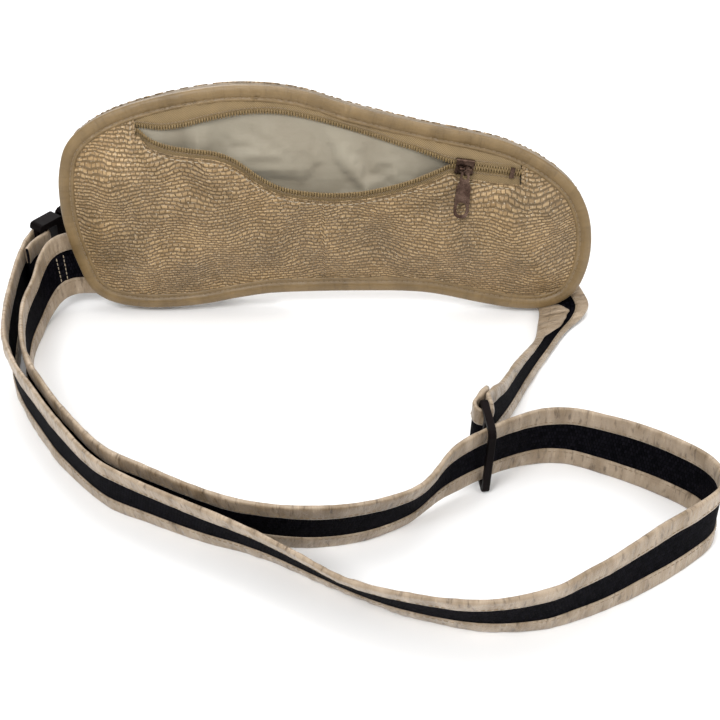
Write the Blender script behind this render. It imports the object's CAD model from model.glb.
"""Looks of the money belt: fabric, straps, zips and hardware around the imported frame.

Lengths are in millimetres in the object's own directions and become metres when a mesh is made.
+X is the pouch's right as its front is seen, -Y is the side the front faces, +Z is up.
"""

import math

import bpy
import numpy as np
from mathutils import Matrix, Vector, noise


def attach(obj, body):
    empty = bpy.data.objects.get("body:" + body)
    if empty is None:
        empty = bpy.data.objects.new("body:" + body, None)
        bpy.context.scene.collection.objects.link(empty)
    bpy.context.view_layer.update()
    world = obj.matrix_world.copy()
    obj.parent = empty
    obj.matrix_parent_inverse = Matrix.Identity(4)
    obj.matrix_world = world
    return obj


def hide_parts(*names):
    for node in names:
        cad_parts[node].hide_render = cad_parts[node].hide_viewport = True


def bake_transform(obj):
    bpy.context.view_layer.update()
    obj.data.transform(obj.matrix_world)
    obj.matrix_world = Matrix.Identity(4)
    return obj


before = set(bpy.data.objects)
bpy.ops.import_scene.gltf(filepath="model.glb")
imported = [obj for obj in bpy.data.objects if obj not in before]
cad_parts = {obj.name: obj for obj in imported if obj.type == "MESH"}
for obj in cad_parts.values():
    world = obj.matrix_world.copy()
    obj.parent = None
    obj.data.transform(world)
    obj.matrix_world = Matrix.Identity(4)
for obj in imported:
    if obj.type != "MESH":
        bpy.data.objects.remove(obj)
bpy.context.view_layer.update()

# ---------------------------------------------------------------- driving dimensions, mm
MM = 0.001
ORIGIN = np.array((8.16, -87.0, 0.0))   # the footprint's middle on the floor
LEAN = math.radians(10)                 # the pouch leans back
LIFT = 3.2
STRAP_HALF = 19.0
WEB_HALF = 18.2                         # the webbing inside the strap's bindings
NARROWEST = 0.75                        # least share of its width that a drawn-up strap shows
RIGHT_FOLD = (15, 52)                   # where the right strap's upper binding is folded over it
THREAD_PROUD = 0.12                     # a stitch's middle above its cloth
FINE = 0.55  # how densely the soft pieces are meshed
SLACK_FRAMES = 24                       # steps of each cloth simulation
YARN_STRETCH = 2.3                      # gaps between rows of yarn over gaps within a row

OUTLINE = [
    (-30, 131.5), (-8.7, 128.1), (13.3, 121), (36.5, 114.8), (58.3, 109.7), (85.7, 104),
    (104, 98.5), (123, 88.6), (139, 75), (148, 58), (150.8, 37), (147.2, 17.5), (139.5, 6.5),
    (126, 0.6), (107.8, 0.6), (89.7, 3.9), (59.5, 10.2), (30.7, 11.5), (-27.6, 10.2),
    (-49, 7.1), (-68.3, 3.2), (-88, 1), (-106, 1), (-122.6, 4.5), (-133.5, 12.2),
    (-139.6, 26.6), (-144.9, 47.6), (-146.6, 64.5), (-145.5, 82), (-139.8, 98.9),
    (-124.9, 112), (-99.2, 122.6), (-57.9, 131),
]
# Layers' depths forward of the binding's middle, at distances in from the outline.
FRONT_DEPTH = [(1.5, 0.9), (8.0, 1.1), (11, 2.4), (15, 4.7), (23, 9), (32, 12.5), (40, 14), (80, 14.4)]
BACK_DEPTH = [(2.0, -6.6), (4.5, -8.0), (8, -9.0), (13, -9.6), (80, -9.9)]
UPPER_LIP = [
    (-100, 109.8), (-87, 108.8), (-74.5, 110.5), (-62, 113.6), (-44, 117), (-27, 117.4),
    (-11, 115), (9, 109.8), (26, 104.5), (42.5, 98.9), (59, 94.2), (69.5, 90.5), (77, 89),
]
LOWER_LIP = [
    (-100, 108.6), (-94, 104.3), (-84, 101.2), (-71, 99.6), (-58, 98.4), (-49, 95.3),
    (-43, 91.5), (-36, 86), (-24.5, 79.6), (-12, 76.6), (5, 75.3), (21.5, 76.4), (38.5, 79.6),
    (55, 84), (64, 87), (69.5, 89.1), (77, 87.6),
]
CHAIN_START = (72.0, 89.1)
CHAIN_END = (107.5, 83.4)
ZIP_LEFT = -101.5
ZIP_RIGHT = 108.6
TAPE_SHOWS = 4.0
TAPE_HIDDEN = 5.0
REAR_START = (-84.0, 111.0)
REAR_END = (125.5, 74.8)
REAR_LEVEL = -8.2
REAR_HALF = 6.2
SLIT = 0.7                               # half of the gap between the tapes of a closed chain
TOOTH_PITCH = 1.5

# Half of the pouch binding's section: in from the outline, depth, and its share of the gathers.
BINDING_SECTION = [
    (8.5, 1.2, 0.0), (8.3, 1.9, 0.3), (7.6, 2.25, 0.9), (6.9, 2.0, 1.5), (6.3, 1.5, 1.1),
    (5.7, 1.95, 1.0), (4.8, 2.45, 0.7), (3.6, 2.65, 0.4), (2.4, 2.5, 0.2), (1.4, 2.2, 0.05),
    (0.6, 1.9, 0.0), (0.12, 1.4, 0.0), (-0.1, 0.6, 0.0),
]
# The side strip's section, behind the binding: in from the outline, and depth.
SIDE_SECTION = [(5.2, -1.9), (3.9, -2.7), (3.0, -3.6), (2.7, -4.6), (2.6, -5.6), (2.5, -6.6), (2.6, -7.2)]
# Half of a strap binding's section: out from the strap's middle line, depth, and its shares of
# the puckers and of the inner edge's wander.
STRAP_SECTION = [
    (9.0, 0.62, 0, 0.8), (9.35, 0.98, 0.2, 0.8), (10.4, 1.0, 0.3, 0.5), (12.0, 1.16, 0.9, 0.2),
    (14.0, 1.2, 1.0, 0), (16.2, 1.18, 0.9, 0), (17.7, 1.12, 0.5, 0), (18.7, 0.9, 0.2, 0),
    (19.1, 0.4, 0, 0),
]

# The long strap's lower edge: x, y, lean towards the right of travel in degrees, and height.
LONG_STRAP = [
    (-131.5, 5.3, 10, 10), (-143, 5.2, 10, 9.6), (-150.5, 2.0, 9, 8), (-156.5, -6, 4, 4),
    (-160, -20, 0, 0.8), (-161.5, -44, 0, 0), (-157, -72, 0, 0), (-148.5, -92, 2, 0),
    (-136.5, -111.5, 3, 0), (-123, -130.5, 4, 0), (-98.5, -156, 8, 0), (-79, -165, 12, 0),
    (-50, -179, 15, 0), (-30, -185.5, 17, 0), (-5, -189, 17, 0), (20, -185, 19, 0),
    (42, -174, 20, 0.8), (58, -161.7, 12, 4.4), (68, -154.9, 9, 5.1), (80, -146.6, 9, 5.0),
    (92, -138, 8, 3.0), (109, -130.5, 5, 0.6), (124, -130, 4, 0), (140, -136.5, 2, 0),
    (156, -145, 0, 0), (172, -155.5, 0, 0), (183, -165.5, 0, 0), (188, -176, 0, 0),
    (186, -187, 0, 0), (177, -197, 1, 0), (156, -213, 2, 0), (130, -228, -5, 0),
    (114, -235, -10, 0), (100, -239.3, -16, 0), (73, -240, -24, 0), (42, -231.5, -29, 0),
    (21, -221.5, -32, 0), (0, -210, -28, 0), (-18, -199.5, -26, 0), (-32, -193, -24, 0),
    (-52, -186, -19, 0), (-83, -171.5, -15, 0), (-102, -161.5, -10, 0), (-127.5, -135, -4, 0),
    (-142, -114, -3, 0), (-154, -94, -4, 0), (-163.5, -72, -4, 0), (-168.5, -48, -3, 0),
    (-171, -24, -1, 1.2), (-171.3, -6, 0, 3.4), (-169.8, 10, 0, 5),
]
# The right strap's lower and upper edges, from the pouch's lower right edge to the tri-glide.
RIGHT_STRAP = [
    ((141.5, 7.1, 21), (116.0, 5.3, 10.5)), ((148.8, 4.4, 8.2), (124.3, 3.4, 2.8)),
    ((149.4, -2.0, 5.6), (126.4, -4.5, 2.8)), ((144.5, -11.0, 4.0), (124.6, -18.6, 4.4)),
    ((137.4, -20.8, 2.8), (119.8, -35.6, 9.3)), ((129.6, -34.0, 1.7), (112.8, -54.5, 16.5)),
    ((120.3, -50.5, 1.3), (106.7, -70.0, 22.5)), ((111.5, -67.5, 1.1), (100.4, -85.0, 27.5)),
    ((104.8, -82.5, 1.8), (95.4, -98.6, 31.6)), ((98.8, -96.5, 3.2), (91.0, -110.4, 36.2)),
    ((92.6, -109.5, 4.8), (87.2, -118.4, 40.6)),
]
# The tab from the buckle's far bar to the pouch's back, given as the long strap is.
TAB = [
    (-101, 71.6, 0, 5), (-92, 63.5, 0, 5), (-84.5, 53, 0, 5), (-79.5, 40, -1, 5),
    (-73.5, 28, -4, 5.5), (-62, 18, -8, 6.5), (-46, 13.6, -10, 8), (-26, 13.4, -10, 9),
]
GLIDE_CENTRE = Vector((81.0, -144.5, 24.0))
GLIDE_TURN = math.radians(8)
GLIDE_LEAN = math.radians(8)
GLIDE_REAR_BAR = 10.5                    # behind the glide's centre
GLIDE_WRAP = 3.9                         # radius of a strap's middle round a bar
TAIL_BESIDE = 3.3                        # from the strap's middle to that of its sewn-back tail
BUCKLE_AT = Vector((-163.5, 19.5, 24.3))
BUCKLE_ANGLE = math.radians(51.5)
BUCKLE_FAR_BAR = 62.0                    # from the near bar
BUCKLE_WRAP = 4.35

# The camera stands in front and looks down at the belt, along +Y.
CAMERA_AT = (0.0203, -0.6486, 0.4712)    # from the pouch's lowest edge, metres
CAMERA_DOWN = math.radians(38)
CAMERA_LENS = 68.97                      # on a 36 mm sensor


# ---------------------------------------------------------------- geometry
def smooth(points, step, closed=False):
    """Points about step apart on a smooth curve through the given ones, of any dimension."""
    pts = [list(map(float, p)) for p in points]
    n = len(pts)
    spans = n if closed else n - 1

    def gap(i, j):
        return max(math.dist(pts[i % n][:2], pts[j % n][:2]), 1e-6)

    def slope(i):
        before, after = (i - 1, i + 1) if closed else (max(i - 1, 0), min(i + 1, n - 1))
        length = sum(gap(k, k + 1) for k in range(before, after))
        return [(pts[after % n][k] - pts[before % n][k]) / length for k in range(len(pts[0]))]

    out = []
    for i in range(spans):
        a, b, length = pts[i % n], pts[(i + 1) % n], gap(i, i + 1)
        ma, mb = slope(i), slope((i + 1) % n if closed else i + 1)
        parts = max(1, math.ceil(length / step))
        for j in range(parts):
            t = j / parts
            h = (2 * t**3 - 3 * t**2 + 1, t**3 - 2 * t**2 + t, 3 * t**2 - 2 * t**3, t**3 - t**2)
            out.append([h[0] * a[k] + h[1] * length * ma[k] + h[2] * b[k] + h[3] * length * mb[k]
                        for k in range(len(a))])
    if not closed:
        out.append(pts[-1])
    return out


def distances(line):
    """How far along a line each of its points is."""
    return np.concatenate(([0], np.cumsum(np.linalg.norm(np.diff(line, axis=0), axis=1))))


def read_at(at, along, values):
    """Rows of values, known at distances along, read at others."""
    return np.stack([np.interp(at, along, values[:, k]) for k in range(values.shape[1])], axis=1)


def unit(ways):
    """Directions, one a row, brought to length 1."""
    return ways / np.linalg.norm(ways, axis=1)[:, None]


def eased(t):
    """0 to 1 with a gentle start and end."""
    return t * t * (3 - 2 * t)


def even(points, count, closed=False):
    """count points evenly along a line, of any dimension, as an array."""
    line = np.array(points + [points[0]] if closed else points, float)
    along = distances(line)
    at = np.linspace(0, along[-1], count, endpoint=not closed)
    return read_at(at, along, line)


def length_of(points):
    return float(np.linalg.norm(np.diff(np.array(points, float), axis=0), axis=1).sum())


UP = Vector((0, 0, 1))
POUCH_UP = np.array((0, math.sin(LEAN), math.cos(LEAN)))
POUCH_OUT = np.array((0, -math.cos(LEAN), math.sin(LEAN)))


def pouch(x, v, depth=0.0):
    """Points on the leaning pouch: across, up the lean, and forward of the binding's middle."""
    x, v, depth = np.broadcast_arrays(np.asarray(x, float), v, depth)
    flat = np.stack([x, np.zeros_like(x), np.full_like(x, LIFT)], axis=-1)
    return flat + v[..., None] * POUCH_UP + depth[..., None] * POUCH_OUT


EDGE_COUNT = int(900 * FINE)
EDGE = even(smooth(OUTLINE, 2, closed=True), EDGE_COUNT, closed=True)


def edge_inward():
    """Directions from the outline into the pouch."""
    along = unit(np.roll(EDGE, -1, axis=0) - np.roll(EDGE, 1, axis=0))
    return np.stack([along[:, 1], -along[:, 0]], axis=1)


EDGE_IN = edge_inward()


def distance_to(line, x, v, closed=True):
    """Distance from each place (x, v) to a line, and the nearest point on it."""
    a = np.asarray(line, float)
    b = np.roll(a, -1, axis=0)
    if not closed:
        a, b = a[:-1], b[:-1]
    best = np.full(x.shape, 1e9)
    near = np.zeros(x.shape + (2,))
    for p, q in zip(a, b):
        d = q - p
        t = np.clip(((x - p[0]) * d[0] + (v - p[1]) * d[1]) / max(d @ d, 1e-9), 0, 1)
        cx, cv = p[0] + t * d[0], p[1] + t * d[1]
        far = np.hypot(x - cx, v - cv)
        closer = far < best
        best = np.where(closer, far, best)
        near[closer] = np.stack([cx, cv], axis=-1)[closer]
    return best, near


def inside(line, x, v):
    """Which places lie within a closed line."""
    a = np.asarray(line, float)
    b = np.roll(a, -1, axis=0)
    hit = np.zeros(x.shape, bool)
    for (x0, v0), (x1, v1) in zip(a, b):
        cross = (v0 > v) != (v1 > v)
        if v0 != v1:
            hit ^= cross & (x < (x1 - x0) * (v - v0) / (v1 - v0) + x0)
    return hit


COARSE_EDGE = even(smooth(OUTLINE, 3, closed=True), 160, closed=True)


def rolling(x, v, scale, seed):
    """Smooth noise from -1 to 1 over arrays of places, repeatable."""
    flat_x, flat_v = np.ravel(x), np.ravel(v)
    out = np.array([noise.noise((a / scale, b / scale, seed)) for a, b in zip(flat_x, flat_v)])
    return out.reshape(np.shape(x)) * 1.6


def ripples(at, scale, lane, seed):
    """Smooth noise from about -1 to 1 at distances along a line, repeatable."""
    return np.array([noise.noise((s / scale, lane, seed)) for s in at])


def grid(step):
    """A grid of places (x, v) over the pouch: its two axes, then the places."""
    xs, vs = np.arange(-152, 153, step), np.arange(-2, 136, step)
    return xs, vs, *np.meshgrid(xs, vs, indexing="ij")


def kept_squares(kept):
    """How many kept squares touch each corner of the grid, and faces over the corners in use."""
    pad = np.pad(kept, 1).astype(int)
    touching = pad[:-1, :-1] + pad[1:, :-1] + pad[:-1, 1:] + pad[1:, 1:]
    number = np.cumsum(touching.ravel() > 0).reshape(touching.shape) - 1
    i, j = np.nonzero(kept)
    faces = [number[i, j], number[i + 1, j], number[i + 1, j + 1], number[i, j + 1]]
    return touching, np.stack(faces, axis=1)


def profile_depth(profile, distance):
    """A layer's depth at a distance in from the edge, with its corners eased."""
    ds, ts = zip(*profile)
    return sum(np.interp(distance + o, ds, ts) for o in (-2.4, -1.2, 0, 1.2, 2.4)) / 5


SLACK_STEP = 4.0


def slack_field(name, keep, held, start, slack, cap):
    """Simulate a sheet of cloth that is slightly too large for the seams that hold it, and
    return how far it bulges (mm) at any place. keep and held take places; start is a rough
    first bulge."""
    xs, vs, x, v = grid(SLACK_STEP)
    touching, faces = kept_squares(keep(x[:-1, :-1] + SLACK_STEP / 2, v[:-1, :-1] + SLACK_STEP / 2))
    used = touching > 0
    places = np.stack([x[used], v[used], start(x[used], v[used])], axis=1) * MM
    mesh = bpy.data.meshes.new(name)
    mesh.from_pydata(places.tolist(), [], faces.tolist())
    sheet = bpy.data.objects.new(name, mesh)
    bpy.context.scene.collection.objects.link(sheet)
    seam = sheet.vertex_groups.new(name="seam")
    for k, fixed in enumerate(held(x[used], v[used])):
        seam.add([k], float(fixed), "REPLACE")
    cloth = sheet.modifiers.new("cloth", "CLOTH")
    cloth.settings.quality = 8
    cloth.settings.mass = 0.02
    cloth.settings.tension_stiffness = 8
    cloth.settings.compression_stiffness = 8
    cloth.settings.shear_stiffness = 3
    cloth.settings.bending_stiffness = 0.02
    cloth.settings.vertex_group_mass = "seam"
    cloth.settings.shrink_min = -slack
    cloth.settings.effector_weights.gravity = 0
    cloth.collision_settings.use_collision = False
    for step in range(1, SLACK_FRAMES + 1):
        bpy.context.scene.frame_set(step)
    shaped = sheet.evaluated_get(bpy.context.evaluated_depsgraph_get()).data
    out = np.empty(len(shaped.vertices) * 3, np.float32)
    shaped.vertices.foreach_get("co", out)
    bulge = np.zeros(x.shape)
    bulge[used] = np.clip(out.reshape(-1, 3)[:, 2] / MM, -cap, cap)
    bpy.context.scene.frame_set(1)
    bpy.data.objects.remove(sheet)

    def at(px, pv):
        fx = np.clip((np.asarray(px, float) - xs[0]) / SLACK_STEP, 0, len(xs) - 1.001)
        fv = np.clip((np.asarray(pv, float) - vs[0]) / SLACK_STEP, 0, len(vs) - 1.001)
        i, j = fx.astype(int), fv.astype(int)
        u, w = eased(fx - i), eased(fv - j)
        return ((bulge[i, j] * (1 - u) + bulge[i + 1, j] * u) * (1 - w)
                + (bulge[i, j + 1] * (1 - u) + bulge[i + 1, j + 1] * u) * w)
    return at


def front_dents(x, v):
    """Slack of the front panel: shallow dents and soft folds under the open mouth."""
    out = 0.7 * rolling(x, v, 34, 3.1)
    for cx, cv, rx, rv, angle, deep in (
            (-70, 78, 34, 9, -24, -1.6), (-20, 52, 60, 11, -12, -1.4), (52, 62, 44, 9, 24, -1.6),
            (92, 60, 26, 10, -6, -1.3), (-98, 88, 20, 7, -48, -1.2), (20, 28, 52, 8, 3, -1.2),
            (-104, 42, 30, 10, 20, -1.2), (112, 34, 26, 10, 20, -1.0), (86, 44, 9, 26, 14, 1.1)):
        c, s = math.cos(math.radians(angle)), math.sin(math.radians(angle))
        a = ((x - cx) * c + (v - cv) * s) / rx
        b = (-(x - cx) * s + (v - cv) * c) / rv
        out = out + deep * np.exp(-a * a - b * b)
    return out


def front_depth(x, v):
    """Depth of the front panel's middle at a place."""
    x, v = np.asarray(x, float), np.asarray(v, float)
    far, _ = distance_to(COARSE_EDGE, x, v)
    ease = np.clip((far - 9) / 14, 0, 1)
    return profile_depth(FRONT_DEPTH, far) + FRONT_SLACK(x, v) * ease


def lip(line, x, side):
    """The tape's edge at x: on the open lip, then beside the closed chain's middle."""
    x = np.asarray(x, float)
    xs, vs = zip(*line)
    slope = (CHAIN_END[1] - CHAIN_START[1]) / (CHAIN_END[0] - CHAIN_START[0])
    closed = CHAIN_START[1] + slope * (x - CHAIN_START[0]) + side * SLIT
    v = np.interp(x, xs, vs)
    blend = np.clip((x - 64) / (CHAIN_START[0] - 64), 0, 1) ** 2
    return np.where(x >= CHAIN_START[0], closed, v + (closed - v) * blend)


UPPER_SMOOTH = smooth(UPPER_LIP, 3)
LOWER_SMOOTH = smooth(LOWER_LIP, 3)


def zip_level(x, v):
    """Depth of the open zip's tapes: just behind the panel, and straight along the chain."""
    behind = 1.3
    first = float(front_depth([CHAIN_START[0]], [CHAIN_START[1]])[0]) - behind
    last = float(front_depth([CHAIN_END[0]], [CHAIN_END[1]])[0]) - behind
    t = (x - CHAIN_START[0]) / (CHAIN_END[0] - CHAIN_START[0])
    blend = np.clip((x - 50) / 16, 0, 1)
    return (front_depth(x, v) - behind) * (1 - blend) + (first + (last - first) * t) * blend


# ---------------------------------------------------------------- pieces
def piece(name, verts, faces, finish, body="belt", cloth=None):
    """Make a piece from millimetres; cloth gives each vertex its place in the weave, in mm."""
    mesh = bpy.data.meshes.new(name)
    verts = (np.asarray(verts, float).reshape(-1, 3) - ORIGIN) * MM
    mesh.from_pydata(verts.tolist(), [], [list(map(int, f)) for f in faces])
    mesh.validate()
    if cloth is not None:
        layer = mesh.uv_layers.new(name="cloth")
        flat = np.asarray(cloth, float).reshape(-1, 2)
        index = np.empty(len(mesh.loops), np.int32)
        mesh.loops.foreach_get("vertex_index", index)
        layer.data.foreach_set("uv", flat[index].ravel())
    mesh.polygons.foreach_set("use_smooth", [True] * len(mesh.polygons))
    mesh.materials.append(finish)
    made = bpy.data.objects.new(name, mesh)
    bpy.context.scene.collection.objects.link(made)
    if body:
        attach(made, body)
    return made


def grid_faces(rows, columns, wrap_rows=False, wrap_columns=False):
    """Faces of a grid of vertices, row after row."""
    i = np.arange(rows if wrap_rows else rows - 1)
    j = np.arange(columns if wrap_columns else columns - 1)
    a, b = np.meshgrid(i, j, indexing="ij")
    c, d = (a + 1) % rows, (b + 1) % columns
    return np.stack([a * columns + b, a * columns + d, c * columns + d, c * columns + b],
                    axis=-1).reshape(-1, 4)


def thicken(made, thick):
    """Give a sheet its thickness, half on each side."""
    change = made.modifiers.new("thickness", "SOLIDIFY")
    change.thickness = thick * MM
    change.offset = 0.0
    return made


def fabric_panel(name, surface, keep, snap, step, thick, finish, warp=None):
    """A panel over a grid of places (x, v), kept where keep says, with its open edges drawn
    onto the lines in snap, and lifted by surface(x, v)."""
    x, v = grid(step)[2:]
    touching, faces = kept_squares(keep(x[:-1, :-1] + step / 2, v[:-1, :-1] + step / 2))
    rim = (touching > 0) & (touching < 4)
    for line, closed in snap:
        rx, rv = x[rim], v[rim]
        far, near = distance_to(line, rx, rv, closed)
        close = far < step * 1.3
        rx[close], rv[close] = near[close, 0], near[close, 1]
        x[rim], v[rim] = rx, rv
    x, v = x[touching > 0], v[touching > 0]
    cloth = np.stack([x, v], axis=1) if warp is None else warp(x, v)
    made = piece(name, pouch(x, v, surface(x, v)), faces, finish, cloth=cloth)
    return thicken(made, thick)


def ribbon(name, rows, finish, body="belt", thick=0.3, wrap=False):
    """A strip of cloth through rows of points across it."""
    along = distances(rows[:, rows.shape[1] // 2])
    across = np.cumsum(np.linalg.norm(np.diff(rows, axis=1), axis=2), axis=1)
    across = np.concatenate((np.zeros((len(rows), 1)), across), axis=1)
    cloth = np.stack([np.broadcast_to(along[:, None], across.shape), across], axis=-1)
    made = piece(name, rows, grid_faces(len(rows), rows.shape[1], wrap_rows=wrap), finish, body, cloth)
    return thicken(made, thick)


def tube(name, points, radius, finish, sides=8, closed=False, squash=1.0):
    """A round cord through points."""
    p = np.asarray(points, float)
    along = np.roll(p, -1, axis=0) - np.roll(p, 1, axis=0)
    if not closed:
        along[0], along[-1] = p[1] - p[0], p[-1] - p[-2]
    along = unit(along)
    side = unit(np.cross(along, (0.02, 0.11, 1.0)))
    top = np.cross(side, along)
    angle = np.linspace(0, 2 * math.pi, sides, endpoint=False)
    rings = (p[:, None] + side[:, None] * np.cos(angle)[None, :, None] * radius
             + top[:, None] * np.sin(angle)[None, :, None] * radius * squash)
    faces = list(grid_faces(len(p), sides, wrap_rows=closed, wrap_columns=True))
    if not closed:
        faces += [list(range(sides))[::-1], list(range((len(p) - 1) * sides, len(p) * sides))]
    around = np.abs(angle - math.pi)[None, :] * radius
    cloth = np.stack(np.broadcast_arrays(distances(p)[:, None], around), axis=-1)
    return piece(name, rings, faces, finish, cloth=cloth)


def dashes(name, centres, ways, outs, size, finish, body="belt"):
    """Many small rounded threads or teeth: half length, half width and half height in size."""
    centres, ways, outs = (np.asarray(a, float) for a in (centres, ways, outs))
    ways = unit(ways)
    sides = unit(np.cross(outs, ways))
    outs = np.cross(ways, sides)
    shape, count = [], 6
    for s, r in ((-1, 0.35), (-0.72, 0.9), (0, 1.0), (0.72, 0.9), (1, 0.35)):
        for k in range(count):
            angle = 2 * math.pi * k / count
            shape.append((s, r * math.cos(angle), r * math.sin(angle)))
    shape = np.array(shape) * size
    verts = (centres[:, None] + ways[:, None] * shape[None, :, 0:1] + sides[:, None] * shape[None, :, 1:2]
             + outs[:, None] * shape[None, :, 2:3])
    one = [list(f) for f in grid_faces(5, count, wrap_columns=True)]
    one += [list(range(count))[::-1], list(range(4 * count, 5 * count))]
    faces = [[i + 5 * count * k for i in f] for k in range(len(centres)) for f in one]
    return piece(name, verts, faces, finish, body)


def stitch_row(name, line, outs, pitch, finish, body="belt", fill=0.36):
    """Thread stitches along a line of points (mm), lying on the cloth whose face is outs."""
    line = np.asarray(line, float)
    along = distances(line)
    at = np.arange(pitch / 2, along[-1] - pitch / 3, pitch)
    way = read_at(at + 0.5, along, line) - read_at(at - 0.5, along, line)
    face = read_at(at, along, np.broadcast_to(np.asarray(outs, float), line.shape))
    centre = read_at(at, along, line) + face * THREAD_PROUD
    return dashes(name, centre, way, face, (pitch * fill, 0.28, 0.22), finish, body)


# ---------------------------------------------------------------- materials
class Finish:
    """A Principled material whose texture nodes read the weave's own coordinates, in mm."""

    def __init__(self, name, roughness, **sockets):
        self.made = bpy.data.materials.new(name)
        self.made.use_nodes = True
        self.tree = self.made.node_tree
        self.shader = self.tree.nodes["Principled BSDF"]
        self.shader.inputs["Roughness"].default_value = roughness
        for key, value in sockets.items():
            self.shader.inputs[key.replace("_", " ")].default_value = value

    def node(self, kind, inputs=None, **settings):
        made = self.tree.nodes.new(kind)
        for key, value in settings.items():
            setattr(made, key, value)
        for key, value in (inputs or {}).items():
            socket = made.inputs[key]
            if isinstance(value, bpy.types.NodeSocket):
                self.tree.links.new(value, socket)
            else:
                socket.default_value = value
        return made

    def cloth(self):
        return self.node("ShaderNodeUVMap", uv_map="cloth").outputs["UV"]

    def space(self):
        """Object coordinates in millimetres."""
        place = self.node("ShaderNodeTexCoord").outputs["Object"]
        return self.node("ShaderNodeVectorMath", {0: place, 1: (1000, 1000, 1000)},
                         operation="MULTIPLY").outputs[0]

    def turned(self, vector, angle=0.0, scale=(1, 1, 1)):
        return self.node("ShaderNodeMapping", {"Vector": vector, "Rotation": (0, 0, math.radians(angle)),
                                               "Scale": scale}).outputs[0]

    def noise(self, vector, scale, detail=3.0, rough=0.5):
        return self.node("ShaderNodeTexNoise", {"Vector": vector, "Scale": scale, "Detail": detail,
                                                "Roughness": rough}).outputs["Fac"]

    def ramp(self, value, stops):
        made = self.node("ShaderNodeValToRGB", {"Fac": value})
        elements = made.color_ramp.elements
        while len(elements) < len(stops):
            elements.new(0.5)
        for element, (at, colour) in zip(elements, stops):
            element.position = at
            element.color = (*colour, 1)
        return made.outputs["Color"]

    def mix(self, amount, a, b, blend="MIX"):
        made = self.node("ShaderNodeMix", data_type="RGBA", blend_type=blend)
        for key, value in ((0, amount), (6, a), (7, b)):
            socket = made.inputs[key]
            if isinstance(value, bpy.types.NodeSocket):
                self.tree.links.new(value, socket)
            elif key:
                socket.default_value = (*value, 1)
            else:
                socket.default_value = value
        return made.outputs[2]

    def spread(self, value, low, high):
        """The value from 0..1 spread over low..high."""
        return self.node("ShaderNodeMapRange", {"Value": value, "To Min": low, "To Max": high}).outputs[0]

    def bump(self, height, distance, strength=1.0, before=None):
        inputs = {"Height": height, "Distance": distance * MM, "Strength": strength}
        if before is not None:
            inputs["Normal"] = before
        return self.node("ShaderNodeBump", inputs).outputs["Normal"]

    def connect(self, **sockets):
        for key, value in sockets.items():
            self.tree.links.new(value, self.shader.inputs[key.replace("_", " ")])
        return self.made


def shimmer_mesh():
    """Open mesh of flat metallic yarn: staggered rows of light dashes over dark gaps."""
    f = Finish("shimmer_mesh", 0.45, Metallic=0.1, Specular_IOR_Level=0.5)
    place = f.cloth()
    jitter = f.node("ShaderNodeTexNoise", {"Vector": place, "Scale": 0.2, "Detail": 2.0}).outputs["Color"]
    jitter = f.node("ShaderNodeVectorMath", {0: jitter, 1: (0.5, 0.5, 0.5)}, operation="SUBTRACT").outputs[0]
    jitter = f.node("ShaderNodeVectorMath", {0: jitter, 1: (3.4, 2.3, 0)}, operation="MULTIPLY").outputs[0]
    uneven = f.node("ShaderNodeVectorMath", {0: place, 1: jitter}, operation="ADD").outputs[0]
    yarn = f.node("ShaderNodeTexBrick", {
        "Vector": f.turned(uneven, 0, (YARN_STRETCH, 1, 1)), "Color1": (0.190, 0.123, 0.054, 1),
        "Color2": (0.315, 0.218, 0.110, 1), "Mortar": (0.245, 0.165, 0.079, 1), "Scale": 1.0,
        "Mortar Size": 0.72, "Mortar Smooth": 1.0, "Bias": -0.15, "Brick Width": 2.9 * YARN_STRETCH,
        "Row Height": 2.0}, offset=0.5)
    patches = f.ramp(f.noise(place, 0.035, 3), [(0.35, (0.78, 0.77, 0.75)), (0.62, (1.08, 1.05, 1.0))])
    raised = f.ramp(yarn.outputs["Fac"], [(0.0, (1.45, 1.45, 1.5)), (0.3, (1.0, 0.99, 0.97)),
                                          (0.95, (0.55, 0.52, 0.45))])
    colour = f.mix(1.0, f.mix(1.0, yarn.outputs["Color"], patches, "MULTIPLY"), raised, "MULTIPLY")
    sparkle = f.noise(f.turned(place, 0, (0.5, 1, 1)), 1.5, 1)
    glint = f.ramp(sparkle, [(0.62, (0, 0, 0)), (0.72, (0.6, 0.6, 0.6))])
    colour = f.mix(glint, colour, (0.66, 0.55, 0.40))
    solid = f.node("ShaderNodeMath", {0: 1.0, 1: yarn.outputs["Fac"]}, operation="SUBTRACT").outputs[0]
    normal = f.bump(solid, 0.4)
    normal = f.bump(f.noise(f.turned(place, 0, (0.6, 3, 1)), 1.5, 2), 0.15, 0.6, normal)
    return f.connect(Base_Color=colour, Normal=normal,
                     Roughness=f.spread(f.noise(place, 0.9, 1), 0.30, 0.60))


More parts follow.
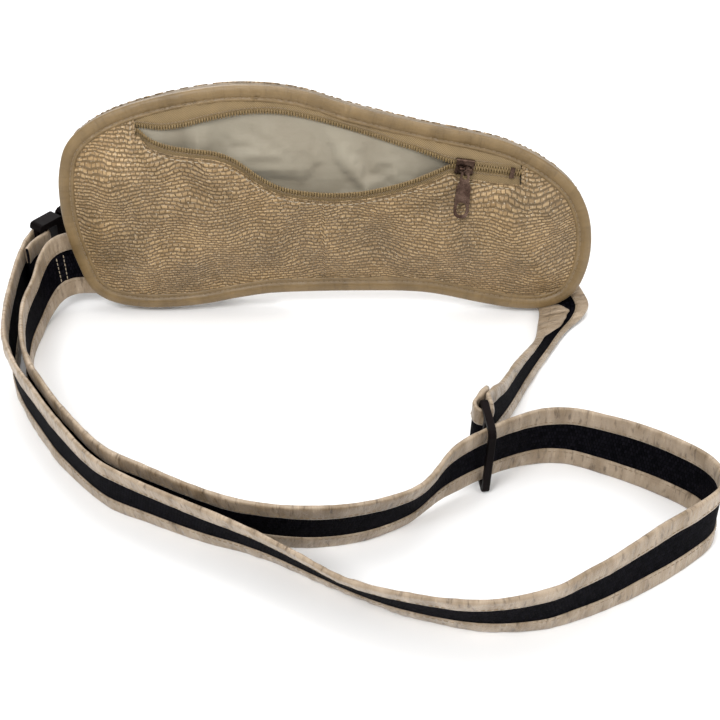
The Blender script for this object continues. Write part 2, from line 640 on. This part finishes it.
def satin(name, colour, other, band=9.0, creased=1.0):
    """Satin ribbon: fine lengthwise threads, creases across it and a broad shine."""
    f = Finish(name, 0.38, Specular_IOR_Level=0.5, Sheen_Weight=0.12, Sheen_Roughness=0.4, Anisotropic=0.4)
    place = f.cloth()
    bands = f.noise(f.turned(place, 8, (1 / band, 0.35 / band, 1)), 1.0, 3)
    tone = f.ramp(bands, [(0.36, other), (0.62, colour)])
    threads = f.noise(f.turned(place, 0, (0.08, 6, 1)), 1.0, 2)
    sheen = f.ramp(threads, [(0.3, (0.76, 0.75, 0.72)), (0.7, (1.12, 1.1, 1.08))])
    tone = f.mix(0.6, tone, sheen, "MULTIPLY")
    creases = f.noise(f.turned(place, 24, (0.42, 0.10, 1)), 1.0, 3, 0.6)
    deep = f.ramp(creases, [(0.32, (0.42, 0.38, 0.33)), (0.45, (1, 1, 1)), (0.60, (1, 1, 1)),
                            (0.70, (1.35, 1.35, 1.35))])
    tone = f.mix(0.9 * creased, tone, deep, "MULTIPLY")
    normal = f.bump(creases, 1.5, 0.8 * creased)
    normal = f.bump(threads, 0.12, 0.7, normal)
    return f.connect(Base_Color=tone, Normal=normal, Roughness=f.spread(creases, 0.28, 0.5))


def ribbed_webbing():
    """Black belt webbing: crosswise ribs of paired picks, with a dull nylon gleam."""
    f = Finish("black_webbing", 0.7, Specular_IOR_Level=0.02)
    place = f.cloth()
    ribs = f.node("ShaderNodeTexBrick", {
        "Vector": place, "Color1": (0.0015, 0.0015, 0.0025, 1), "Color2": (0.0065, 0.006, 0.009, 1),
        "Mortar": (0.0004, 0.0004, 0.0006, 1), "Scale": 1.0, "Mortar Size": 0.25, "Mortar Smooth": 1.0,
        "Brick Width": 1.6, "Row Height": 2.4}, offset=0.5)
    solid = f.node("ShaderNodeMath", {0: 1.0, 1: ribs.outputs["Fac"]}, operation="SUBTRACT").outputs[0]
    return f.connect(Base_Color=ribs.outputs["Color"], Normal=f.bump(solid, 0.7))


def twill_tape():
    """Zip tape: a fine diagonal twill."""
    f = Finish("khaki_tape", 0.62, Sheen_Weight=0.3, Sheen_Roughness=0.5)
    place = f.cloth()
    lines = f.node("ShaderNodeTexWave", {"Vector": f.turned(place, 40), "Scale": 0.42, "Distortion": 0.6,
                                         "Detail": 1.0}, bands_direction="X").outputs["Fac"]
    tone = f.ramp(lines, [(0.1, (0.135, 0.086, 0.031)), (0.8, (0.275, 0.186, 0.078))])
    tone = f.mix(0.6, tone, f.ramp(f.noise(place, 0.12, 3), [(0.3, (0.8, 0.8, 0.8)), (0.7, (1.1, 1.1, 1.1))]),
                 "MULTIPLY")
    return f.connect(Base_Color=tone, Normal=f.bump(lines, 0.18, 0.8))


def coil_nylon():
    f = Finish("khaki_coil", 0.38, Specular_IOR_Level=0.5)
    grain = f.noise(f.space(), 0.6, 2)
    tone = f.ramp(grain, [(0.3, (0.155, 0.102, 0.040)), (0.7, (0.27, 0.185, 0.080))])
    return f.connect(Base_Color=tone, Normal=f.bump(f.noise(f.space(), 3.0, 2), 0.05, 0.5))


def lining_cloth():
    """Thin off-white lining: plain weave with soft creases."""
    f = Finish("pale_lining", 0.55, Specular_IOR_Level=0.4, Sheen_Weight=0.25)
    place = f.cloth()
    tone = f.ramp(f.noise(place, 0.03, 4), [(0.3, (0.245, 0.210, 0.152)), (0.7, (0.335, 0.300, 0.228))])
    weave = f.node("ShaderNodeTexBrick", {"Vector": place, "Scale": 1.0, "Mortar Size": 0.12,
                                          "Mortar Smooth": 1.0, "Brick Width": 0.8, "Row Height": 0.5})
    normal = f.bump(weave.outputs["Fac"], 0.06, 0.5)
    normal = f.bump(f.noise(f.turned(place, 70, (0.35, 1, 1)), 0.09, 4), 1.6, 0.6, normal)
    return f.connect(Base_Color=tone, Normal=normal)


def thread_finish(name, colour):
    f = Finish(name, 0.5, Sheen_Weight=0.3)
    twist = f.noise(f.space(), 2.4, 2)
    tone = f.ramp(twist, [(0.3, tuple(c * 0.7 for c in colour)), (0.7, colour)])
    return f.connect(Base_Color=tone, Normal=f.bump(twist, 0.08, 0.6))


def dark_metal(name, colour, bright, roughness):
    """Plated zinc, antiqued dark and rubbed lighter in patches."""
    f = Finish(name, roughness, Metallic=1.0)
    wear = f.noise(f.space(), 0.16, 3, 0.5)
    tone = f.ramp(wear, [(0.45, colour), (0.80, bright)])
    uneven = f.spread(f.noise(f.space(), 1.1, 3), roughness - 0.1, roughness + 0.16)
    return f.connect(Base_Color=tone, Roughness=uneven, Normal=f.bump(f.noise(f.space(), 2.0, 3), 0.05, 0.4))


def moulded_plastic():
    f = Finish("black_plastic", 0.34, Specular_IOR_Level=0.015)
    grain = f.noise(f.space(), 2.6, 3)
    tone = f.ramp(f.noise(f.space(), 0.05, 3), [(0.3, (0.004, 0.003, 0.003)), (0.7, (0.009, 0.0065, 0.0065))])
    return f.connect(Base_Color=tone, Normal=f.bump(grain, 0.05, 0.6),
                     Roughness=f.spread(f.noise(f.space(), 0.2, 3), 0.3, 0.5))


MESH = shimmer_mesh()
SATIN = satin("satin_binding", (0.212, 0.140, 0.060), (0.155, 0.100, 0.040), 14.0, 0.3)
STRAP_SATIN = satin("strap_satin", (0.385, 0.300, 0.215), (0.235, 0.170, 0.105))
GREY_SATIN = satin("grey_piping", (0.29, 0.235, 0.175), (0.21, 0.165, 0.115), 14.0, 0.2)
WEBBING = ribbed_webbing()
TAPE = twill_tape()
COIL = coil_nylon()
LINING = lining_cloth()
TAN_THREAD = thread_finish("tan_thread", (0.24, 0.165, 0.085))
PALE_THREAD = thread_finish("pale_thread", (0.46, 0.365, 0.245))
BRONZE = dark_metal("dark_bronze", (0.060, 0.036, 0.027), (0.19, 0.125, 0.095), 0.26)
BRIGHT = dark_metal("bright_zinc", (0.45, 0.45, 0.46), (0.8, 0.8, 0.8), 0.24)
PLASTIC = moulded_plastic()


# ---------------------------------------------------------------- the pouch
def window_lower(x):
    """The front panel's edge under the lower tape."""
    extra = np.where(np.asarray(x) > CHAIN_START[0], 1.2, 0.0)
    return lip(LOWER_SMOOTH, x, -1) - TAPE_SHOWS - extra


def window_line():
    """The hole in the front panel: it runs up under the binding."""
    xs = np.linspace(ZIP_LEFT, ZIP_RIGHT + 1, 140)
    bottom = np.stack([xs, window_lower(xs)], axis=1)
    ease = np.clip((xs - ZIP_LEFT) / 6, 0, 1)
    bottom[:, 1] = 106 * (1 - ease) + bottom[:, 1] * ease
    return np.concatenate([[(ZIP_LEFT, 150)], bottom, [(ZIP_RIGHT + 1, 150)]])


WINDOW = window_line()


def woven_flow(x, v):
    """The weave's own coordinates: its rows wander as the slack mesh is pulled about."""
    drift = 5.0 * rolling(x, v, 44, 7.7) + 2.4 * rolling(x, v, 18, 1.3)
    side = 2.0 * rolling(x, v, 38, 5.9)
    sag = -0.06 * np.where(x < 0, x + 40, 0) + 0.05 * np.where(x > 60, 60 - x, 0)
    return np.stack([x + side, v + drift + sag], axis=1)


def edge_distance(x, v):
    return distance_to(COARSE_EDGE, x, v)[0] * np.where(inside(COARSE_EDGE, x, v), 1, -1)


def standing_folds(x, v):
    """Where the slack lining starts: soft folds that stand up from its lower seam."""
    sway = v + 7 * rolling(x, v, 30, 2.2)
    wave = np.sin((x + 0.32 * sway) / 6.4 + 2.2 * rolling(x, v, 34, 8.8))
    low = np.sin((x - 0.45 * sway) / 12.5 + 1.7)
    return 0.9 * wave * (0.5 + 0.5 * rolling(x, v, 40, 4.1)) + 1.1 * low


LINING_ROOM = 4.5            # furthest the lining bulges forward
FRONT_SLACK = slack_field(
    "front_slack", lambda x, v: (edge_distance(x, v) > 3.0) & ~inside(WINDOW, x, v),
    lambda x, v: (edge_distance(x, v) < 10) | (distance_to(WINDOW[1:-1], x, v, False)[0] < 3.0),
    lambda x, v: front_dents(x, v) * np.clip((edge_distance(x, v) - 9) / 14, 0, 1), 0.012, 3.2)
LINING_SLACK = slack_field(
    "lining_slack", lambda x, v: edge_distance(x, v) > 7.0, lambda x, v: edge_distance(x, v) < 12,
    lambda x, v: standing_folds(x, v) * np.clip((edge_distance(x, v) - 12) / 26, 0, 1), 0.05, LINING_ROOM)


def build_panels():
    """The six fabric layers of the pouch."""
    step = 1.5 / (FINE / 0.55)

    def in_front(x, v):
        return (edge_distance(x, v) > 3.0) & ~inside(WINDOW, x, v)

    front = fabric_panel("front_mesh", front_depth, in_front, [(WINDOW[1:-1], False)], step, 0.8,
                         MESH, woven_flow)
    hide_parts("front_panel")

    def back_depth(x, v):
        return profile_depth(BACK_DEPTH, np.maximum(edge_distance(x, v), 0)) - 0.5 * rolling(x, v, 40, 9.2)

    slope = (REAR_END[1] - REAR_START[1]) / (REAR_END[0] - REAR_START[0])
    left, right = REAR_START[0] - 1, REAR_END[0] + 1
    high, low = REAR_START[1], REAR_END[1]
    slot = np.array([(left, high + REAR_HALF), (right, low + REAR_HALF + slope),
                     (right, low - REAR_HALF + slope), (left, high - REAR_HALF)])

    def in_back(x, v):
        return (edge_distance(x, v) > 1.6) & ~inside(slot, x, v)

    back = fabric_panel("back_mesh", back_depth, in_back, [(slot, True), (COARSE_EDGE, True)], step, 0.8,
                        MESH, woven_flow)
    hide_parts("back_panel")

    def folds(x, v):
        """The slack lining's folds, flattening towards the seams."""
        inset = edge_distance(x, v)
        far = np.clip((inset - 12) / 20, 0, 1)
        beside_slider = np.clip((x - 50) / 12, 0, 1)
        full = 1.2 * np.clip((inset - 9) / 6, 0, 1) + far * (2.2 + np.maximum(LINING_SLACK(x, v), -2.4))
        return 0.3 + full - (full + 0.4) * 0.9 * beside_slider

    lining = fabric_panel("pocket_lining_back", folds, lambda x, v: edge_distance(x, v) > 7.0,
                          [], step, 0.4, LINING)
    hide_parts("pocket_back_lining")

    under = np.stack([WINDOW[1:-1, 0], WINDOW[1:-1, 1] - 5.2], axis=1)
    under = np.concatenate([[(ZIP_LEFT - 1, 150)], under, [(ZIP_RIGHT + 1, 150)]])
    inner = fabric_panel("pocket_lining_front", lambda x, v: np.maximum(front_depth(x, v) - 2.2, 1.5),
                         lambda x, v: (edge_distance(x, v) > 9.0) & ~inside(under, x, v),
                         [(under[1:-1], False)], step * 1.5, 0.4, LINING)
    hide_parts("front_lining")

    divider = fabric_panel("divider_mesh", lambda x, v: np.full_like(x, -0.8),
                           lambda x, v: edge_distance(x, v) > 3.0,
                           [], step * 2, 0.7, MESH, woven_flow)
    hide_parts("divider_panel")
    rear = fabric_panel("rear_pocket_lining_sheet", lambda x, v: -6.0 + 0.5 * rolling(x, v, 30, 6.4),
                        lambda x, v: edge_distance(x, v) > 14.0, [], step * 2, 0.4, LINING)
    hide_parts("rear_pocket_lining")


def around_edge(w, t):
    """Points round the outline at w in from the edge (or per station) and depth t."""
    place = EDGE + EDGE_IN * np.broadcast_to(np.asarray(w, float), (EDGE_COUNT,))[:, None]
    return pouch(place[:, 0], place[:, 1], np.broadcast_to(np.asarray(t, float), (EDGE_COUNT,)))


def build_edges():
    """The satin binding with its gathers and stitches, the side strip and the rear piping."""
    run = distances(EDGE)
    top = np.clip((EDGE[:, 1] - 70) / 40, 0.25, 1)
    gather = ripples(run, 2.3, 0.5, 4.0) + 0.7 * ripples(run, 5.5, 3.5, 9.0)
    swell = ripples(run, 17, 7.5, 2.0)
    columns = []
    for w, t, g in BINDING_SECTION + [(w, -t, g) for w, t, g in reversed(BINDING_SECTION)]:
        sign = 1 if t > 0 else -1
        lift = g * top * gather * 0.8 + 0.15 * g * swell
        columns.append(around_edge(w + 0.35 * swell * (w > 6.9), t + sign * lift))
    rows = np.stack(columns, axis=1)
    seam = int(np.argmin(np.hypot(EDGE[:, 0] + 146, EDGE[:, 1] - 58)))
    binding = ribbon("pouch_edge_binding", np.roll(rows, -seam, axis=0), SATIN, wrap=True)
    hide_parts("pouch_binding")

    for name, t in (("front", 1.75), ("rear", -1.75)):
        line = around_edge(6.3, t + np.sign(t) * 0.3 * top * gather * 0.5)
        stitch_row(f"binding_stitches_{name}", np.concatenate([line, line[:1]]), POUCH_OUT * np.sign(t),
                   3.0, TAN_THREAD)

    strip = np.stack([around_edge(w, t) for w, t in SIDE_SECTION], axis=1)
    side = ribbon("pouch_side_strip", strip, GREY_SATIN, wrap=True)
    cord = tube("rear_piping_cord", around_edge(1.5, -6.9), 1.25, GREY_SATIN, sides=10,
                closed=True)
    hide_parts("rear_piping")


# ---------------------------------------------------------------- zips
def teeth(name, line, ways, outs):
    return dashes(name, line, ways, outs, (1.35, 0.5, 0.62), COIL)


def build_front_zip():
    """Tapes along both lips with their coil teeth, and the edge stitching."""
    xs = np.linspace(ZIP_LEFT, ZIP_RIGHT, int(400 * FINE))
    columns = 10
    for side, line, name in ((1, UPPER_SMOOTH, "upper"), (-1, LOWER_SMOOTH, "lower")):
        edge = lip(line, xs, side)
        if side > 0:
            edge_top = np.interp(xs, *sorted_top(6.2))
            far = np.maximum(edge_top, edge + 1.0)
        else:
            far = edge - TAPE_SHOWS - TAPE_HIDDEN
        level = zip_level(xs, edge)
        rows = []
        for k in range(columns):
            t = k / (columns - 1)
            v = edge + (far - edge) * t
            if side > 0:
                s = eased(np.clip((t - 0.35) / 0.65, 0, 1))
                d = level * (1 - s) + 1.0 * s
                d = d + 0.35 * np.sin(xs / 9 + 3 * t) * t * (1 - t) * 4
            else:
                d = level * (1 - t) + (front_depth(xs, v) - 1.3) * t
            rows.append(pouch(xs, v, d))
        tape = ribbon(f"front_tape_{name}_cloth", np.stack(rows, axis=1), TAPE, thick=0.5)
        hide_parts(f"front_tape_{name}")

        near, second = rows[0], rows[1]
        at = even([tuple(p) for p in near], int(length_of(near) / TOOTH_PITCH))
        if side < 0:
            at = at + (at[1] - at[0]) * 0.5
        way = unit(read_at(at[:, 0], near[:, 0], second - near))
        out = unit(np.cross(np.gradient(at, axis=0), way) * side)
        closed = np.clip((at[:, 0] - 68) / 6, 0, 1)[:, None]
        coil = teeth(f"front_teeth_{name}", at + way * (0.75 - 0.75 * closed) + out * 0.75, way, out)
        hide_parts(f"front_coil_{name}")
        seam = at + way * (3.0 if side > 0 else 2.6) + out * 0.32
        stitch_row(f"front_tape_stitches_{name}", seam, out, 2.0, TAN_THREAD)

    inset = WINDOW[4:-2]
    hem_line = pouch(inset[:, 0], inset[:, 1] - 0.4, front_depth(inset[:, 0], inset[:, 1] - 0.4) + 0.1)
    hem = even([tuple(p) for p in hem_line], int(500 * FINE))
    tube("front_mesh_hem", hem, 0.62, MESH, squash=0.8)
    row = pouch(inset[:, 0], inset[:, 1] - 2.1, front_depth(inset[:, 0], inset[:, 1] - 2.1) + 0.45)
    stitch_row("front_mesh_stitches", row, POUCH_OUT, 3.3, PALE_THREAD, fill=0.34)
    for name, x in (("left", ZIP_LEFT - 0.6), ("right", ZIP_RIGHT + 1.6)):
        v = np.linspace(float(window_lower(np.clip(x, ZIP_LEFT + 6, ZIP_RIGHT))) + 1.0,
                        float(np.interp(x, *sorted_top(6.5))), 30)
        xs_line = np.full_like(v, x)
        line = pouch(xs_line, v, front_depth(xs_line, v) + 0.15)
        tube(f"front_mesh_turning_{name}", line, 0.7, MESH, squash=0.8)
        shift = -1.8 if name == "left" else 1.8
        stitches = pouch(xs_line + shift, v, front_depth(xs_line + shift, v) + 0.45)
        stitch_row(f"front_turning_stitches_{name}", stitches, POUCH_OUT, 3.0, PALE_THREAD)


def sorted_top(inset):
    """The pouch's top edge less an inset, as (x, v) in order of x."""
    place = EDGE + EDGE_IN * inset
    upper = place[place[:, 1] > 60]
    upper = upper[np.argsort(upper[:, 0])]
    return upper[:, 0], upper[:, 1]


def build_rear_zip():
    """The closed rear zip: two tapes, two rows of teeth and its stitching."""
    first, last = pouch(*REAR_END, REAR_LEVEL), pouch(*REAR_START, REAR_LEVEL)
    way = (last - first) / np.linalg.norm(last - first)
    out = -POUCH_OUT
    up = np.cross(out, way)
    long = float(np.linalg.norm(last - first))
    s = np.linspace(0, long, 150)
    for name, sign, reach in (("upper", 1, 6.4), ("lower", -1, 9.0)):
        rows = np.stack([first + s[:, None] * way + up * sign * w for w in np.linspace(SLIT, reach, 7)],
                        axis=1)
        tape = ribbon(f"rear_tape_{name}_cloth", rows, TAPE, thick=0.5)
        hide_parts(f"rear_tape_{name}")
        at = np.arange(2.0 + (0.75 if sign > 0 else 0), long - 2, TOOTH_PITCH)
        line = first + at[:, None] * way + up * sign * 1.1 + out * 0.85
        ways = np.broadcast_to(up, line.shape)
        coil = teeth(f"rear_teeth_{name}", line, ways, np.broadcast_to(out, line.shape))
        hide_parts(f"rear_coil_{name}")
        edge = first + s[:, None] * way + up * sign * (REAR_HALF + 2.2) + out * (1.75 if sign < 0 else 1.6)
        stitch_row(f"rear_zip_stitches_{name}", edge, out, 3.0, PALE_THREAD)


# ---------------------------------------------------------------- straps
def standing(points, step=3):
    """(lower edge, upper edge) along a strap that stands on its lower edge."""
    line = smooth(points, step)
    out = []
    for i, (x, y, lean, height) in enumerate(line):
        a, b = line[max(i - 1, 0)], line[min(i + 1, len(line) - 1)]
        along = Vector((b[0] - a[0], b[1] - a[1], 0)).normalized()
        right = Vector((along.y, -along.x, 0))
        lean = math.radians(lean)
        rise = Vector((0, 0, math.cos(lean))) + right * math.sin(lean)
        low = Vector((x, y, max(height, 1.4 * abs(math.sin(lean)))))
        out.append((low, low + rise * 2 * STRAP_HALF))
    return out


def round_bar(centre, first, turn_to, tall, radius, steps=16):
    """(lower edge, upper edge) round a bar, from first's side over turn_to to the other side."""
    out = []
    for i in range(steps + 1):
        angle = math.pi * i / steps
        middle = centre + first * radius * math.cos(angle) + turn_to * radius * math.sin(angle)
        out.append((middle - tall * STRAP_HALF, middle + tall * STRAP_HALF))
    return out


def strap(prefix, stations, replaced, place, folded=None):
    """Ribbed webbing with a puckered satin binding and a stitch row on each edge. place rides
    or blends each piece; replaced maps webbing, upper and lower to the CAD nodes. folded gives
    the distances along the strap between which the upper binding is folded over the webbing."""
    flat = np.array([(*a, *b) for a, b in stations])
    middle = (flat[:, :3] + flat[:, 3:]) / 2
    long = length_of(middle)
    at = np.linspace(0, long, int(long * FINE * 1.25))
    flat = read_at(at, distances(middle), flat)
    low, high = flat[:, :3], flat[:, 3:]
    middle, half = (low + high) / 2, (high - low) / 2 / STRAP_HALF
    half = half / np.minimum(np.linalg.norm(half, axis=1) / NARROWEST, 1)[:, None]
    across = unit(np.cross(np.gradient(middle, axis=0), half))
    kernel = np.ones(5) / 5
    padded = np.pad(across, ((2, 2), (0, 0)), mode="edge")
    across = unit(np.stack([np.convolve(padded[:, k], kernel, mode="valid") for k in range(3)], axis=1))

    def point(w, t):
        w, t = (np.broadcast_to(np.asarray(a, float), at.shape)[:, None] for a in (w, t))
        return middle + half * w + across * t

    seed = sum(map(ord, prefix)) % 17
    rows = np.stack([point(w, 0) for w in np.linspace(-WEB_HALF, WEB_HALF, 13)], axis=1)
    web = ribbon(f"{prefix}_black_web", rows, WEBBING, body=None, thick=1.0)
    place(web)
    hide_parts(*replaced["webbing"])
    for name, sign in (("upper", 1), ("lower", -1)):
        pucker = 0.7 * ripples(at, 2.6, 1.5 * sign, seed) + 1.3 * ripples(at, 5.5, 4.5 * sign, seed)
        slant = ripples(at, 11, 8.5 * sign, seed)
        wander = ripples(at, 24, 2.5 * sign, seed)
        ragged = ripples(at, 4.5, 6.5 * sign, seed)
        over = np.zeros_like(at)
        if folded and sign > 0:
            far_in = np.clip(np.minimum(at - folded[0], folded[1] - at) / 9, 0, 1)
            over = far_in ** 0.7 * (13 + 1.5 * ragged)
        columns = []
        for w, t, g, b in STRAP_SECTION + [(w, -t, g, b) for w, t, g, b in reversed(STRAP_SECTION)]:
            face = 1 if t > 0 else -1
            lift = g * (0.55 * pucker + 0.3 * slant * face)
            reach = over * np.clip((14 - w) / 4, 0, 1)
            raised = face * (np.clip(lift, -0.5, 0.8) + 0.5 * (reach > 0.1))
            columns.append(point(sign * (w - reach + b * wander + g * ragged * 0.25), t + raised))
        rows = np.stack(columns, axis=1)
        rows[..., 2] = np.maximum(rows[..., 2], 0.3)
        bind = ribbon(f"{prefix}_satin_{name}", rows, STRAP_SATIN, body=None, thick=0.28)
        place(bind)
        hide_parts(*replaced[name])
        for face in (1, -1):
            line = point(sign * (10.6 + 0.4 * wander), face * (1.02 + 0.5 * (over > 0.1)))
            row_name = f"{prefix}_stitches_{name}_{'out' if face > 0 else 'in'}"
            place(stitch_row(row_name, line, across * face, 2.8, TAN_THREAD, body=None))
    return point, at


def riding(body):
    """A place for strap: the whole strap rides one body."""
    return lambda made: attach(made, body)


def blending(start, end):
    """A place for strap: it bends from body a at start to body b at end."""
    start, end = (((np.array(p, float) - ORIGIN) * MM).tolist() for p in (start, end))
    return lambda made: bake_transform(made)


def buckle_axes():
    """Along the buckle towards its female half, and out of its face."""
    a = Vector((math.cos(BUCKLE_ANGLE), math.sin(BUCKLE_ANGLE), 0))
    p = Vector((math.sin(BUCKLE_ANGLE), -math.cos(BUCKLE_ANGLE), 0))
    return a, p


def upright(middles, rise=UP):
    """(lower edge, upper edge) at points on a strap's middle line."""
    return [(m - rise * STRAP_HALF, m + rise * STRAP_HALF) for m in middles]


def named(prefix):
    """The CAD nodes that a strap's webbing and bindings stand for."""
    return {"webbing": [f"{prefix}_webbing"], "upper": [f"{prefix}_upper_binding"],
            "lower": [f"{prefix}_lower_binding"]}


def build_straps():
    """The long strap to the buckle, the right strap round the glide's bar, and the tab."""
    a, p = buckle_axes()
    bar = BUCKLE_AT
    fold = round_bar(bar, -p, a, UP, BUCKLE_WRAP)
    tail = upright([bar + p * BUCKLE_WRAP - a * 5 + p * 0.3, bar + p * (BUCKLE_WRAP + 1.6) - a * 11,
                    bar + p * (BUCKLE_WRAP + 4.5) - a * 17])
    point, at = strap("long_strap", standing(LONG_STRAP) + fold + tail, named("long_strap"), riding("belt"))
    for k, s in enumerate((17.5, 22.5)):
        i = int(np.argmin(abs(at - s)))
        across = np.stack([point(w, 0)[i] for w in np.linspace(-8.4, 8.4, 14)])
        out = point(0, 1)[i] - point(0, 0)[i]
        for face in (1, -1):
            stitch_row(f"root_stitches_{k}_{'out' if face > 0 else 'in'}", across + out * face * 0.55,
                       out * face, 2.6, PALE_THREAD)

    turn = Matrix.Rotation(GLIDE_TURN, 3, "Z") @ Matrix.Rotation(GLIDE_LEAN, 3, "X")
    long, tall, out = turn @ Vector((0, 1, 0)), turn @ Vector((0, 0, 1)), turn @ Vector((1, 0, 0))
    rear_bar = GLIDE_CENTRE + long * GLIDE_REAR_BAR
    low, high = (Vector(v) for v in RIGHT_STRAP[-1])
    way = (low + high - Vector(RIGHT_STRAP[-2][0]) - Vector(RIGHT_STRAP[-2][1])).normalized()
    leaving = rear_bar + out * GLIDE_WRAP + long * 7
    back = ((low + high) / 2 - leaving).normalized()
    beside = tall.cross(back).normalized() * TAIL_BESIDE
    run = [(Vector(s[:3]), Vector(s[3:])) for s in smooth([(*u, *w) for u, w in RIGHT_STRAP], 2)]
    run += [(low + way * 5, high + way * 5)] + upright([leaving], tall)
    run += round_bar(rear_bar, out, -long, tall, GLIDE_WRAP)
    run += upright([rear_bar - out * GLIDE_WRAP + long * 2.5, leaving + beside + back * 1.5,
                    leaving + beside + back * 6], tall)
    names = named("right_strap")
    names["webbing"].append("right_strap_end")
    strap("right_strap", run, names, blending((124, -42, 12), (92, -110, 22)),
          RIGHT_FOLD)

    bar = BUCKLE_AT + a * BUCKLE_FAR_BAR
    run = upright([bar + p * BUCKLE_WRAP + a * 11]) + round_bar(bar, p, -a, UP, BUCKLE_WRAP)
    run += upright([bar - p * BUCKLE_WRAP + a * 6, bar - p * (BUCKLE_WRAP - 0.6) + a * 12,
                    bar - p * 0.4 + a * 16.6, bar + p * 4.5 + a * 18.2, bar + p * 9.5 + a * 18.2])
    run += standing(TAB)[1:]
    names = named("tab")
    names["webbing"].append("tab_fold")
    strap("tab", run, names, blending((-106, 76, 24), (-70, 25, 24)))


# ---------------------------------------------------------------- hardware
def dress(names, finish, width=0.0, segments=2):
    """Give CAD nodes their finish, and rounded edges."""
    for name in names:
        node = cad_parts[name]
        node.data.materials.clear()
        node.data.materials.append(finish)
        if width:
            change = node.modifiers.new("edges", "BEVEL")
            change.width = width * MM
            change.segments = segments
            change.limit_method = "ANGLE"
            change.angle_limit = math.radians(35)
            change.harden_normals = True
        for face in node.data.polygons:
            face.use_smooth = True


def build_hardware():
    """The metal and plastic parts keep their CAD shape."""
    dress(["front_slider_body", "front_pull_tab", "front_end_stop"], BRONZE, 0.25)
    dress(["front_slider_bail", "front_pull_link"], BRONZE)
    dress(["rear_slider_body", "rear_pull_tab", "rear_top_stop", "rear_end_stop"], BRIGHT, 0.25)
    dress(["rear_slider_bail", "rear_pull_link"], BRIGHT)
    dress(["tri_glide"], PLASTIC, 0.9, 4)
    dress(["buckle_male_base", "buckle_female_shell", "buckle_upper_arm", "buckle_lower_arm"],
          PLASTIC, 0.6, 3)


# ---------------------------------------------------------------- studio
def build_studio():
    """A pale floor, white surroundings, four soft lights and the camera."""
    floor_mesh = bpy.data.meshes.new("studio_floor")
    floor_mesh.from_pydata([(-6, -6, 0), (6, -6, 0), (6, 6, 0), (-6, 6, 0)], [], [(0, 1, 2, 3)])
    floor = bpy.data.objects.new("studio_floor", floor_mesh)
    bpy.context.scene.collection.objects.link(floor)
    pale = bpy.data.materials.new("studio_pale")
    pale.use_nodes = True
    shader = pale.node_tree.nodes["Principled BSDF"]
    shader.inputs["Base Color"].default_value = (0.93, 0.93, 0.93, 1)
    shader.inputs["Roughness"].default_value = 0.9
    floor_mesh.materials.append(pale)

    world = bpy.data.worlds.new("studio_world")
    bpy.context.scene.world = world
    world.use_nodes = True
    background = world.node_tree.nodes["Background"]
    background.inputs["Color"].default_value = (1, 1, 1, 1)
    background.inputs["Strength"].default_value = 0.62
    bpy.context.scene.view_settings.view_transform = "Standard"

    for name, place, aim_height, size, power in (
            ("key", (-0.5, -0.9, 1.25), 0.03, 0.55, 15), ("fill", (0.9, -0.7, 0.8), 0.03, 0.7, 5),
            ("top", (0.1, 0.35, 1.3), 0.03, 0.9, 9), ("back", (-0.4, 1.1, 0.7), 0.05, 0.7, 6)):
        light = bpy.data.lights.new(name, "AREA")
        light.size = size
        light.energy = power
        lamp = bpy.data.objects.new(name, light)
        lamp.location = place
        lamp.rotation_euler = (UP * aim_height - Vector(place)).to_track_quat("-Z", "Y").to_euler()
        bpy.context.scene.collection.objects.link(lamp)

    camera_data = bpy.data.cameras.new("camera")
    camera_data.lens = CAMERA_LENS
    camera_data.sensor_width = 36
    camera = bpy.data.objects.new("camera", camera_data)
    camera.location = Vector(CAMERA_AT) - Vector(ORIGIN) * MM
    camera.rotation_euler = (math.pi / 2 - CAMERA_DOWN, 0, 0)
    bpy.context.scene.collection.objects.link(camera)
    bpy.context.scene.camera = camera


build_studio()
build_panels()
build_edges()
build_front_zip()
build_rear_zip()
build_straps()
build_hardware()
